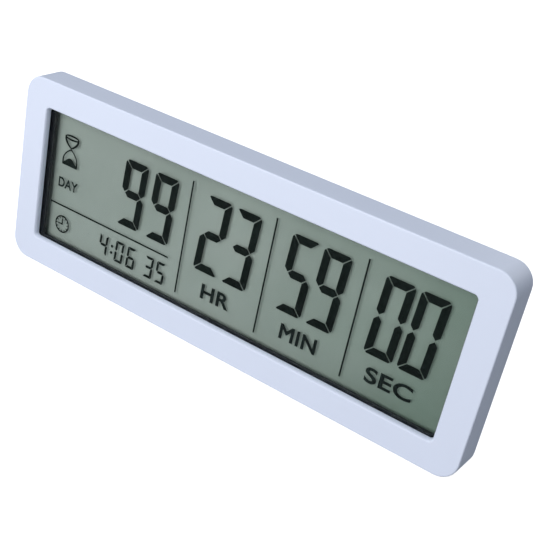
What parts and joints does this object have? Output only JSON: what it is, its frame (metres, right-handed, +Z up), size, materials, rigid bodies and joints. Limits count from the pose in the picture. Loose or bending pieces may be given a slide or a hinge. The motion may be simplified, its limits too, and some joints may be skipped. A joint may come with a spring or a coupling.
{
  "type": "lab timer",
  "caption": "Wide bench countdown timer with a large segment display, rear keys and switches, a fold-out leg, magnets, a hanging slot and a sliding battery door.",
  "frame": {"origin": "bottom centre of the whole case, with the leg folded and the door shut", "axes": "+X to the display's right, +Y from the display to the back, +Z up"},
  "size_m": [0.1708, 0.02, 0.0638],
  "materials": {
    "case_front": "fine moulded grain, satin",
    "case_back": "fine moulded grain, satin",
    "clear_lens": "clear polished acrylic",
    "black_frame": "plain moulded black",
    "polariser": "anti-glare film",
    "display_glass": "thin polished glass",
    "display_ink": "dark display bars",
    "display_ground": "grey-green reflecting film",
    "silicone_strip": "layered elastomer",
    "board_laminate": "green solder mask",
    "black_epoxy": "potted epoxy",
    "plated_steel": "zinc or nickel plated",
    "chip_ceramic": "fired ceramic",
    "magnet_nickel": "nickel plated, satin",
    "cell_sleeve": "printed shrink sleeve, plain bands",
    "red_lead": "soft insulation",
    "black_lead": "soft insulation",
    "key_plastic": "smooth moulded",
    "knob_plastic": "smooth moulded"
  },
  "bodies": {
    "case": {"front_cover": "case_front", "display_lens": "clear_lens", "display_frame": "black_frame", "front_polariser": "polariser", "front_glass": "display_glass", "display_segments": "display_ink", "rear_glass": "display_glass", "reflector": "display_ground", "contact_strip": "silicone_strip", "circuit_board": "board_laminate", "driver_chip": "black_epoxy", "crystal": "plated_steel", "chip_capacitors": "chip_ceramic", "chip_resistors": "black_epoxy", "buzzer": "black_frame", "key_switches": "black_frame", "slide_switches": "plated_steel", "board_screws": "plated_steel", "rear_cover": "case_back", "case_screws": "plated_steel", "magnets": "magnet_nickel", "leg_pin": "plated_steel", "upper_cell": "cell_sleeve", "lower_cell": "cell_sleeve", "positive_contact": "plated_steel", "negative_contact": "plated_steel", "bridge_contact": "plated_steel", "positive_wire": "red_lead", "negative_wire": "black_lead"},
    "day_key": {"day_key": "key_plastic", "day_plunger": "black_frame"},
    "hour_key": {"hour_key": "key_plastic", "hour_plunger": "black_frame"},
    "minute_key": {"minute_key": "key_plastic", "minute_plunger": "black_frame"},
    "second_key": {"second_key": "key_plastic", "second_plunger": "black_frame"},
    "start_stop_key": {"start_stop_key": "key_plastic", "start_stop_plunger": "black_frame"},
    "clear_key": {"clear_key": "key_plastic", "clear_plunger": "black_frame"},
    "direction_knob": {"direction_knob": "knob_plastic"},
    "clock_knob": {"clock_knob": "knob_plastic"},
    "leg": {"leg": "case_back"},
    "battery_door": {"battery_door": "case_back"}
  },
  "joints": [
    {"name": "day_press", "type": "slide", "parent": "case", "child": "day_key", "axis": [0, -1, 0], "range_m": [0, 0.0005], "stiffness_N_per_m": 400, "springref_m": -0.0005},
    {"name": "hour_press", "type": "slide", "parent": "case", "child": "hour_key", "axis": [0, -1, 0], "range_m": [0, 0.0005], "stiffness_N_per_m": 400, "springref_m": -0.0005},
    {"name": "minute_press", "type": "slide", "parent": "case", "child": "minute_key", "axis": [0, -1, 0], "range_m": [0, 0.0005], "stiffness_N_per_m": 400, "springref_m": -0.0005},
    {"name": "second_press", "type": "slide", "parent": "case", "child": "second_key", "axis": [0, -1, 0], "range_m": [0, 0.0005], "stiffness_N_per_m": 400, "springref_m": -0.0005},
    {"name": "start_stop_press", "type": "slide", "parent": "case", "child": "start_stop_key", "axis": [0, -1, 0], "range_m": [0, 0.0005], "stiffness_N_per_m": 400, "springref_m": -0.0005},
    {"name": "clear_press", "type": "slide", "parent": "case", "child": "clear_key", "axis": [0, -1, 0], "range_m": [0, 0.0005], "stiffness_N_per_m": 400, "springref_m": -0.0005},
    {"name": "direction_slide", "type": "slide", "parent": "case", "child": "direction_knob", "axis": [1, 0, 0], "range_m": [0, 0.0025], "stiffness_N_per_m": 60},
    {"name": "clock_slide", "type": "slide", "parent": "case", "child": "clock_knob", "axis": [1, 0, 0], "range_m": [0, 0.0025], "stiffness_N_per_m": 60},
    {"name": "leg_fold", "type": "hinge", "parent": "case", "child": "leg", "pos_m": [0, 0.008, 0.0445], "axis": [1, 0, 0], "range_deg": [0, 45], "stiffness_Nm_per_rad": 0.03},
    {"name": "door_slide", "type": "slide", "parent": "case", "child": "battery_door", "axis": [1, 0, 0], "range_m": [0, 0.052], "stiffness_N_per_m": 20}
  ]
}
